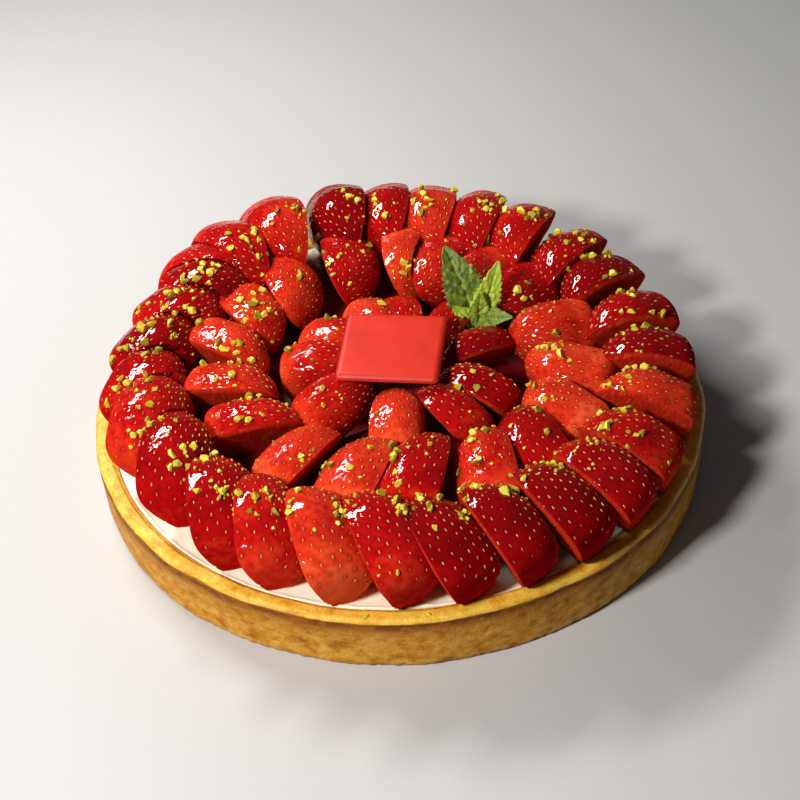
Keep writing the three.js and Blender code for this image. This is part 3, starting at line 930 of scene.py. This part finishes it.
def nut_places(draw, sizes):
    """Where all the bits are dropped: those on the rim first, then the heaps and the strays."""
    bearing, reach = np.array(RIM_CRUMBS, float).T
    angle = np.radians(bearing)
    places = [np.stack([np.cos(angle), np.sin(angle)], axis=1) * reach[:, None] * MM]
    for bearing, reach, spread, count in NUT_HEAPS:
        angle = math.radians(bearing)
        middle = np.array([math.cos(angle), math.sin(angle)]) * reach * MM
        places.append(middle + draw.normal(0, 0.55 * spread * MM, (round(1.35 * count), 2)))
    angle = draw.uniform(0, 2 * math.pi, sizes.stray_nuts)
    reach = draw.triangular(25, 90, 116, sizes.stray_nuts) * MM
    places.append(np.stack([reach * np.cos(angle), reach * np.sin(angle)], axis=1))
    return np.concatenate(places)


def build_nuts(sizes, material):
    """Chopped pistachio dropped from above onto whatever lies there."""
    draw = np.random.default_rng(2024)
    shapes = [nut_template(draw) for _ in range(7)]
    below = dropping_surface()
    dropped_from, steepest = 200 * MM, 0.12
    parts = [[] for _ in shapes]
    for x, y in nut_places(draw, sizes):
        hit, normal, _, _ = below.ray_cast(Vector((x, y, dropped_from)), Vector((0, 0, -1)))
        if hit is None or normal.z < steepest or on_garnish(hit):
            continue
        parts[draw.integers(len(shapes))].append((np.array(hit), np.array(normal)))
    pieces = []
    for (template, faces), spots in zip(shapes, parts):
        turns, middles, scales = [], [], []
        for hit, normal in spots:
            spin = draw.uniform(0, 2 * math.pi)
            side = np.cross(normal, [math.cos(spin), math.sin(spin), 0.3])
            side /= np.linalg.norm(side)
            length = sizes.nut_size * (0.45 + 1.2 * draw.uniform() ** 1.5)
            scale = length * np.array([1.3, draw.uniform(0.85, 1.15), draw.uniform(0.8, 1.1)])
            turns.append([side, np.cross(normal, side), normal])
            middles.append(hit + normal * scale[2] * 0.2)
            scales.append(scale)
        piece = scatter(
            "nuts", template, faces, np.array(middles), np.array(turns), np.array(scales)
        )
        tint = np.repeat(draw.uniform(0, 1, len(spots)), len(template))
        set_attribute(piece.data, "tint", tint)
        pieces.append(piece)
    make_active(pieces[0])
    for piece in pieces[1:]:
        piece.select_set(True)
    bpy.ops.object.join()
    pieces[0].name = "pistachio_chopped"
    return finish_piece(pieces[0], material)


def dropping_surface():
    """Everything that a falling bit can land on, as one tree."""
    points, faces = [], []
    for piece in bpy.context.scene.objects:
        if piece.type == "MESH" and piece.get("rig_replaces"):
            start = len(points)
            points += [v.co.copy() for v in piece.data.vertices]
            faces += [[start + i for i in face.vertices] for face in piece.data.polygons]
    return BVHTree.FromPolygons(points, faces)


def on_garnish(point):
    """Whether a point lies on the plaque or the mint, where no bits lie."""
    over_the_berries = 47 * MM
    for name in ("plaque", "mint_sprig"):
        low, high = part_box(name)
        if low.x < point.x < high.x and low.y < point.y < high.y and point.z > over_the_berries:
            return True
    return False


# ---- Materials ----------------------------------------------------------------------------------
def new_material(name):
    material = bpy.data.materials.new(name)
    material.use_nodes = True
    material.node_tree.nodes.clear()
    return material


def node(material, kind, settings=None, links=None):
    """Adds a node: lower-case settings are its properties, the others its inputs, and links bring
    outputs of other nodes to its inputs. stops are a colour ramp's places and colours."""
    tree = material.node_tree
    made = tree.nodes.new("ShaderNode" + kind)
    for key, value in (settings or {}).items():
        if key == "stops":
            elements = made.color_ramp.elements
            while len(elements) < len(value):
                elements.new(0.5)
            for element, (place, colour) in zip(elements, value):
                element.position = place
                element.color = colour
        elif isinstance(key, str) and key.islower():
            setattr(made, key, value)
        else:
            made.inputs[key].default_value = value
    for key, source in (links or {}).items():
        if isinstance(source, bpy.types.Node):
            source = source.outputs[0]
        tree.links.new(source, made.inputs[key])
    return made


def grey(value):
    return (value, value, value, 1)


def per_mm(size):
    """The scale of a pattern whose features are that many millimetres across."""
    return 1 / (size * MM)


def strawberry_material(colours):
    """Ripe strawberry under a brushed-on fruit glaze: deep translucent red skin, flecked and paler
    towards the hull, that shines only where the glaze lies. The glaze is a clear coat, smooth at the
    tip and rippled where it ran down, and leaves the hull end and the cut face matt."""
    m = new_material("glazed_strawberry")
    place = node(m, "Attribute", {"attribute_name": "own_place"}).outputs["Vector"]
    ripeness = node(m, "Attribute", {"attribute_name": "ripeness"}).outputs["Fac"]
    along = node(m, "Attribute", {"attribute_name": "along"}).outputs["Fac"]
    cut = node(m, "Attribute", {"attribute_name": "cut_face"}).outputs["Fac"]
    pit = node(m, "Attribute", {"attribute_name": "pit"}).outputs["Fac"]
    body = node(m, "TexCoord").outputs["Object"]
    blotch = node(m, "TexNoise", {"Scale": per_mm(13), "Detail": 3.0}, {"Vector": body})
    fleck = node(m, "TexNoise", {"Scale": per_mm(2.6), "Detail": 4.0, "Roughness": 0.6}, {"Vector": body})
    shoulder = node(m, "MapRange", {"From Min": 0.34, "From Max": 0.0, "To Max": 0.3}, {"Value": along})
    tone = node(m, "Math", {"operation": "MULTIPLY_ADD", 1: 0.75}, {0: blotch, 2: ripeness})
    tone = node(m, "Math", {"operation": "MULTIPLY_ADD", 1: 0.6}, {0: fleck, 2: tone})
    tone = node(m, "Math", {"operation": "ADD"}, {0: tone, 1: shoulder})
    tone = node(m, "Math", {"operation": "SUBTRACT", 1: 0.7}, {0: tone})
    skin = node(m, "ValToRGB", {"stops": [
        (0.0, colours.ripe),
        (0.45, linear("#ab0d0e")),
        (0.8, colours.pale),
        (1.0, linear("#e0562e")),
    ]}, {0: tone})
    # painted shade: the skin is darker and deeper red in the hollows round the seeds
    skin = node(m, "MixRGB", {"blend_type": "MULTIPLY", 2: linear("#c98a80")}, {0: pit, 1: skin})
    fibre = node(m, "Mapping", {"Scale": (0.35, 1.6, 1.0)}, {"Vector": place})
    fibre = node(m, "TexNoise", {"Scale": per_mm(1.6), "Detail": 4.0, "Distortion": 0.6}, {"Vector": fibre})
    flesh = node(m, "ValToRGB", {"stops": [
        (0.3, linear("#b01c0e")),
        (0.55, colours.flesh),
        (0.78, linear("#dc5a34")),
    ]}, {0: fibre})
    colour = node(m, "MixRGB", {}, {0: cut, 1: skin, 2: flesh})
    ripple = node(m, "TexNoise", {"Scale": per_mm(2.8), "Detail": 1.5, "Roughness": 0.4}, {"Vector": body})
    runny = node(m, "MapRange", {
        "From Min": 0.45, "From Max": 0.75, "To Min": 1.0, "To Max": 0.2,
    }, {"Value": along})
    ripple = node(m, "Math", {"operation": "MULTIPLY"}, {0: ripple, 1: runny})
    grain = node(m, "TexNoise", {"Scale": per_mm(0.7), "Detail": 2.0}, {"Vector": body})
    wavy = node(m, "Bump", {"Strength": 0.8, "Distance": 0.5 * MM}, {"Height": ripple})
    skin_bump = node(m, "Bump", {"Strength": 0.25, "Distance": 0.15 * MM}, {"Height": grain})
    brushed = node(m, "MapRange", {"From Min": 0.16, "From Max": 0.36}, {"Value": along})
    brushed = node(m, "Math", {"operation": "SUBTRACT", "use_clamp": True}, {0: brushed, 1: cut})
    shader = node(m, "BsdfPrincipled", {
        "Roughness": 0.5,
        "Specular IOR Level": 0.0,
        "Subsurface Weight": 0.15,
        "Subsurface Radius": (1.0, 0.2, 0.08),
        "Subsurface Scale": 2 * MM,
        "Coat Roughness": 0.03,
        "Coat IOR": 1.37,
    }, {"Base Color": colour, "Normal": skin_bump, "Coat Weight": brushed, "Coat Normal": wavy})
    node(m, "OutputMaterial", {}, {"Surface": shader})
    return m


def seed_material():
    """Strawberry seeds seen through the glaze: dry golden husks, some greener or browner."""
    m = new_material("strawberry_seed")
    tint = node(m, "Attribute", {"attribute_name": "tint"}).outputs["Fac"]
    colour = node(m, "ValToRGB", {"stops": [
        (0.0, linear("#a33a0c")),
        (0.35, linear("#bd6214")),
        (0.7, linear("#cc8420")),
        (1.0, linear("#c29c2e")),
    ]}, {0: tint})
    shader = node(m, "BsdfPrincipled", {
        "Roughness": 0.4,
        "Coat Weight": 0.8,
        "Coat Roughness": 0.08,
    }, {"Base Color": colour})
    node(m, "OutputMaterial", {}, {"Surface": shader})
    return m


def crust_material(colours):
    """Golden shortcrust: sandy grain with pale mottles, a brownish band of painted shade in the groove
    under the lip, a darker foot, a brighter rim and a brushed glaze on the rim and foot."""
    m = new_material("baked_shortcrust")
    body = node(m, "TexCoord").outputs["Object"]
    up = node(m, "Attribute", {"attribute_name": "height_share"}).outputs["Fac"]
    low = node(m, "Mapping", {"Scale": (1.0, 1.0, 1.6)}, {"Vector": body})
    mottle = node(m, "TexNoise", {"Scale": per_mm(6), "Detail": 6.0, "Roughness": 0.62}, {"Vector": low})
    cloud = node(m, "TexNoise", {"Scale": per_mm(17), "Detail": 2.0}, {"Vector": low})
    grain = node(m, "TexNoise", {"Scale": per_mm(0.9), "Detail": 3.0, "Roughness": 0.7}, {"Vector": body})
    wall = node(m, "ValToRGB", {"stops": [
        (0.32, linear("#a05c10")),
        (0.48, colours.crust),
        (0.62, linear("#dfa746")),
    ]}, {0: mottle})
    rim = node(m, "ValToRGB", {"stops": [
        (0.32, linear("#d98c20")),
        (0.5, linear("#ebb63e")),
        (0.66, linear("#f0c650")),
    ]}, {0: mottle})
    on_rim = node(m, "MapRange", {"From Min": 0.9, "From Max": 0.955}, {"Value": up})
    colour = node(m, "MixRGB", {}, {0: on_rim, 1: wall, 2: rim})
    ragged = node(m, "Math", {"operation": "MULTIPLY_ADD", 1: 0.12, 2: -0.06}, {0: cloud})
    ragged = node(m, "Math", {"operation": "ADD"}, {0: ragged, 1: up})
    # painted shade: a brownish band in the groove under the overhanging lip; the wall is also darker at the
    # foot
    lip_shade_and_foot_band = node(m, "ValToRGB", {"stops": [
        (0.0, grey(0.3)), (0.1, grey(0.0)), (0.5, grey(0.1)), (0.72, grey(0.4)), (0.82, grey(1)),
        (0.915, grey(1)), (0.94, grey(0)),
    ]}, {0: ragged})
    patchy = node(m, "ValToRGB", {"stops": [(0.34, grey(0.5)), (0.55, grey(1))]}, {0: mottle})
    brown = node(m, "Math", {"operation": "MULTIPLY"}, {0: patchy, 1: lip_shade_and_foot_band})
    colour = node(m, "MixRGB", {2: linear("#7c3f08")}, {0: brown, 1: colour})
    speck = node(m, "ValToRGB", {"stops": [(0.35, grey(0.78)), (0.65, grey(1.1))]}, {0: grain})
    colour = node(m, "MixRGB", {"blend_type": "MULTIPLY", 0: 0.8}, {1: colour, 2: speck})
    glaze = node(m, "ValToRGB", {"stops": [
        (0.0, grey(0.35)), (0.06, grey(0.3)), (0.14, grey(0.6)), (0.88, grey(0.6)), (0.94, grey(0.28)),
    ]}, {0: up})
    bump = node(m, "Bump", {"Strength": 0.75, "Distance": 0.4 * MM}, {"Height": grain})
    shader = node(m, "BsdfPrincipled", {
        "IOR": 1.3,
        "Subsurface Weight": 0.06,
        "Subsurface Radius": (1.0, 0.5, 0.2),
        "Subsurface Scale": 1.5 * MM,
    }, {"Base Color": colour, "Roughness": glaze, "Normal": bump})
    node(m, "OutputMaterial", {}, {"Surface": shader})
    return m


def cream_material(colours):
    """Whipped vanilla cream: soft ivory, faintly wet, and dark red under and between the berries, partly
    juice and partly painted shade in the gaps.
    """
    m = new_material("vanilla_cream")
    body = node(m, "TexCoord").outputs["Object"]
    back = (0.0, -6 * MM, 0.0)
    flat = node(m, "Mapping", {"Scale": (1.0, 1.0, 0.0), "Location": back}, {"Vector": body})
    reach = node(m, "VectorMath", {"operation": "LENGTH"}, {0: flat}).outputs["Value"]
    patch = node(m, "TexNoise", {"Scale": per_mm(7), "Detail": 3.0}, {"Vector": body})
    edge = node(m, "Math", {"operation": "MULTIPLY_ADD", 1: 9 * MM}, {0: patch, 2: reach})
    # partly juice and partly painted shade: the cream turns dark red inside about 103 to 110 mm from a
    # middle set 6 mm toward the back, where it shows only in the gaps between berries
    juice_and_gap_shade = node(m, "MapRange", {"From Min": 110 * MM, "From Max": 103 * MM}, {"Value": edge})
    colour = node(m, "MixRGB", {1: colours.cream, 2: linear("#6d0a08")}, {0: juice_and_gap_shade})
    bump = node(m, "Bump", {"Strength": 0.3, "Distance": 0.4 * MM}, {"Height": patch})
    shader = node(m, "BsdfPrincipled", {
        "Roughness": 0.42,
        "IOR": 1.45,
        "Subsurface Weight": 0.3,
        "Subsurface Radius": (1.0, 0.8, 0.5),
        "Subsurface Scale": 2.5 * MM,
    }, {"Base Color": colour, "Normal": bump})
    node(m, "OutputMaterial", {}, {"Surface": shader})
    return m


def plaque_material(colours):
    """Coloured white chocolate cast in a smooth mould: an even, silky orange-red."""
    m = new_material("cast_chocolate")
    body = node(m, "TexCoord").outputs["Object"]
    cloud = node(m, "TexNoise", {"Scale": per_mm(14), "Detail": 3.0}, {"Vector": body})
    colour = node(m, "ValToRGB", {"stops": [
        (0.3, linear("#c62818")), (0.6, colours.plaque), (0.85, linear("#dc3924")),
    ]}, {0: cloud})
    grain = node(m, "TexNoise", {"Scale": per_mm(0.8), "Detail": 2.0}, {"Vector": body})
    bump = node(m, "Bump", {"Strength": 0.12, "Distance": 0.1 * MM}, {"Height": grain})
    shader = node(m, "BsdfPrincipled", {
        "Roughness": 0.42,
        "IOR": 1.45,
        "Subsurface Weight": 0.1,
        "Subsurface Radius": (1.0, 0.3, 0.15),
        "Subsurface Scale": 1 * MM,
    }, {"Base Color": colour, "Normal": bump})
    node(m, "OutputMaterial", {}, {"Surface": shader})
    return m


def mint_material(colours):
    """Fresh mint: a quilted matt leaf, lighter along its veins and lit through from behind."""
    m = new_material("fresh_mint")
    body = node(m, "TexCoord").outputs["Object"]
    vein = node(m, "Attribute", {"attribute_name": "vein"}).outputs["Fac"]
    tone = node(m, "Attribute", {"attribute_name": "tone"}).outputs["Fac"]
    patch = node(m, "TexNoise", {"Scale": per_mm(3), "Detail": 4.0}, {"Vector": body})
    shade = node(m, "Math", {"operation": "MULTIPLY_ADD", 1: 0.5}, {0: patch, 2: tone})
    blade = node(m, "ValToRGB", {"stops": [
        (0.5, linear("#45580c")), (0.74, colours.mint), (1.0, linear("#b2c834")),
    ]}, {0: shade})
    colour = node(m, "MixRGB", {2: linear("#aab848")}, {0: vein, 1: blade})
    fine = node(m, "TexNoise", {"Scale": per_mm(0.8), "Detail": 3.0}, {"Vector": body})
    bump = node(m, "Bump", {"Strength": 0.4, "Distance": 0.25 * MM}, {"Height": fine})
    shader = node(m, "BsdfPrincipled", {
        "Roughness": 0.5,
        "Sheen Weight": 0.15,
        "Subsurface Weight": 0.25,
        "Subsurface Radius": (0.5, 1.0, 0.2),
        "Subsurface Scale": 0.8 * MM,
    }, {"Base Color": colour, "Normal": bump})
    node(m, "OutputMaterial", {}, {"Surface": shader})
    return m


def pistachio_material():
    """Chopped pistachio: bright yellow-green flesh with darker, browner skin sides."""
    m = new_material("chopped_pistachio")
    body = node(m, "TexCoord").outputs["Object"]
    tint = node(m, "Attribute", {"attribute_name": "tint"}).outputs["Fac"]
    patch = node(m, "TexNoise", {"Scale": per_mm(1.8), "Detail": 3.0}, {"Vector": body})
    shade = node(m, "Math", {"operation": "MULTIPLY_ADD", 1: 0.5}, {0: patch, 2: tint})
    colour = node(m, "ValToRGB", {"stops": [
        (0.2, linear("#7d6c0c")), (0.45, linear("#ae9a14")), (0.75, linear("#cdb920")),
        (1.0, linear("#dccb3c")),
    ]}, {0: shade})
    fine = node(m, "TexNoise", {"Scale": per_mm(0.5), "Detail": 2.0}, {"Vector": body})
    bump = node(m, "Bump", {"Strength": 0.4, "Distance": 0.15 * MM}, {"Height": fine})
    shader = node(m, "BsdfPrincipled", {
        "Roughness": 0.55,
        "Subsurface Weight": 0.12,
        "Subsurface Radius": (0.8, 1.0, 0.3),
        "Subsurface Scale": 0.6 * MM,
    }, {"Base Color": colour, "Normal": bump})
    node(m, "OutputMaterial", {}, {"Surface": shader})
    return m


def floor_material():
    """A seamless matt studio board in a pale warm grey."""
    m = new_material("studio_board")
    shader = node(m, "BsdfPrincipled", {"Base Color": linear("#c0bdb9"), "Roughness": 0.8})
    node(m, "OutputMaterial", {}, {"Surface": shader})
    return m


# ---- Stage --------------------------------------------------------------------------------------
def add_softbox(name, location, target, size, power):
    """A rectangular soft light that looks at a point."""
    bpy.ops.object.light_add(type="AREA", location=location)
    lamp = bpy.context.active_object
    lamp.name = name
    lamp.data.shape = "RECTANGLE"
    lamp.data.size, lamp.data.size_y = size
    lamp.data.energy = power
    aim = Vector(target) - Vector(location)
    lamp.rotation_euler = aim.to_track_quat("-Z", "Y").to_euler()
    return lamp


def add_camera():
    """A long lens from the front, 42 degrees up, rolled a little and framed below the middle."""
    distance, elevation, roll = 0.807, math.radians(41.57), math.radians(-3.46)
    location = Vector((0, -math.cos(elevation), math.sin(elevation))) * distance
    bpy.ops.object.camera_add(location=location)
    camera = bpy.context.active_object
    turn = (-location).to_track_quat("-Z", "Y") @ Quaternion((0, 0, 1), roll)
    camera.rotation_euler = turn.to_euler()
    camera.data.lens = 90
    camera.data.sensor_width = 36
    camera.data.shift_x = -0.0016
    camera.data.shift_y = 0.060
    bpy.context.scene.camera = camera


def build_stage():
    floor = add_primitive("studio_floor", bpy.ops.mesh.primitive_plane_add, size=6)
    floor.data.materials.append(floor_material())
    add_softbox("key", (-0.28, 0.28, 0.42), (0, 0, 0.02), (0.26, 0.08), 3)
    add_softbox("front_fill", (-0.34, -0.4, 0.5), (0, 0, 0.02), (0.1, 0.1), 5)
    world = bpy.data.worlds.new("studio")
    bpy.context.scene.world = world
    world.use_nodes = True
    world.node_tree.nodes["Background"].inputs["Color"].default_value = (0.8, 0.82, 0.85, 1)
    world.node_tree.nodes["Background"].inputs["Strength"].default_value = 0.06
    bpy.context.scene.view_settings.view_transform = "Standard"
    add_camera()


# ---- Operators ----------------------------------------------------------------------------------
class TART_OT_stage(bpy.types.Operator):
    """Adds the floor, the soft lights and the camera"""

    bl_idname = "tart.stage"
    bl_label = "Stage"

    def execute(self, context):
        build_stage()
        return {"FINISHED"}


class TART_OT_crust(bpy.types.Operator):
    """Adds the baked shortcrust shell"""

    bl_idname = "tart.crust"
    bl_label = "Crust"

    def execute(self, context):
        build_crust(context.scene.tart_sizes, crust_material(context.scene.tart_colours))
        return {"FINISHED"}


class TART_OT_cream(bpy.types.Operator):
    """Adds the spread vanilla cream"""

    bl_idname = "tart.cream"
    bl_label = "Cream"

    def execute(self, context):
        build_cream(context.scene.tart_sizes, cream_material(context.scene.tart_colours))
        return {"FINISHED"}


class TART_OT_strawberries(bpy.types.Operator):
    """Adds the three rings of glazed strawberry halves"""

    bl_idname = "tart.strawberries"
    bl_label = "Strawberries"

    def execute(self, context):
        sizes = context.scene.tart_sizes
        material = strawberry_material(context.scene.tart_colours)
        blank = blank_half_berry()
        for row in berry_rows(sizes):
            for i, berry in enumerate(row):
                build_berry(blank, berry, leaning_on(row, i), sizes, material)
        bpy.data.objects.remove(blank)
        return {"FINISHED"}


class TART_OT_seeds(bpy.types.Operator):
    """Adds the seeds in their pits, one piece for each ring"""

    bl_idname = "tart.seeds"
    bl_label = "Seeds"

    def execute(self, context):
        sizes = context.scene.tart_sizes
        material = seed_material()
        for row in berry_rows(sizes):
            build_seeds(row, sizes, material)
        return {"FINISHED"}


class TART_OT_plaque(bpy.types.Operator):
    """Adds the chocolate plaque"""

    bl_idname = "tart.plaque"
    bl_label = "Plaque"

    def execute(self, context):
        build_plaque(plaque_material(context.scene.tart_colours))
        return {"FINISHED"}


class TART_OT_mint(bpy.types.Operator):
    """Adds the mint sprig"""

    bl_idname = "tart.mint"
    bl_label = "Mint"

    def execute(self, context):
        build_mint(mint_material(context.scene.tart_colours))
        return {"FINISHED"}


class TART_OT_pistachio(bpy.types.Operator):
    """Drops the chopped pistachio"""

    bl_idname = "tart.pistachio"
    bl_label = "Pistachio"

    def execute(self, context):
        build_nuts(context.scene.tart_sizes, pistachio_material())
        return {"FINISHED"}


STEPS = (
    TART_OT_stage,
    TART_OT_crust,
    TART_OT_cream,
    TART_OT_strawberries,
    TART_OT_seeds,
    TART_OT_plaque,
    TART_OT_mint,
    TART_OT_pistachio,
)


class TART_PT_sidebar(bpy.types.Panel):
    """Lists the tart's pieces in the order they are made"""

    bl_idname = "TART_PT_sidebar"
    bl_label = "Strawberry tart"
    bl_space_type = "VIEW_3D"
    bl_region_type = "UI"
    bl_category = "Tart"

    def draw(self, context):
        for step in STEPS:
            self.layout.operator(step.bl_idname)
        for group in (context.scene.tart_sizes, context.scene.tart_colours):
            for name in group.__annotations__:
                self.layout.prop(group, name)


CLASSES = (TartSizes, TartColours, *STEPS, TART_PT_sidebar)


def register():
    for cls in CLASSES:
        bpy.utils.register_class(cls)
    bpy.types.Scene.tart_sizes = PointerProperty(type=TartSizes)
    bpy.types.Scene.tart_colours = PointerProperty(type=TartColours)


def unregister():
    del bpy.types.Scene.tart_colours
    del bpy.types.Scene.tart_sizes
    for cls in reversed(CLASSES):
        bpy.utils.unregister_class(cls)


def main():
    register()
    bpy.ops.tart.stage()
    bpy.ops.tart.crust()
    bpy.ops.tart.cream()
    bpy.ops.tart.strawberries()
    bpy.ops.tart.seeds()
    bpy.ops.tart.plaque()
    bpy.ops.tart.mint()
    bpy.ops.tart.pistachio()


if __name__ == "__main__":
    main()
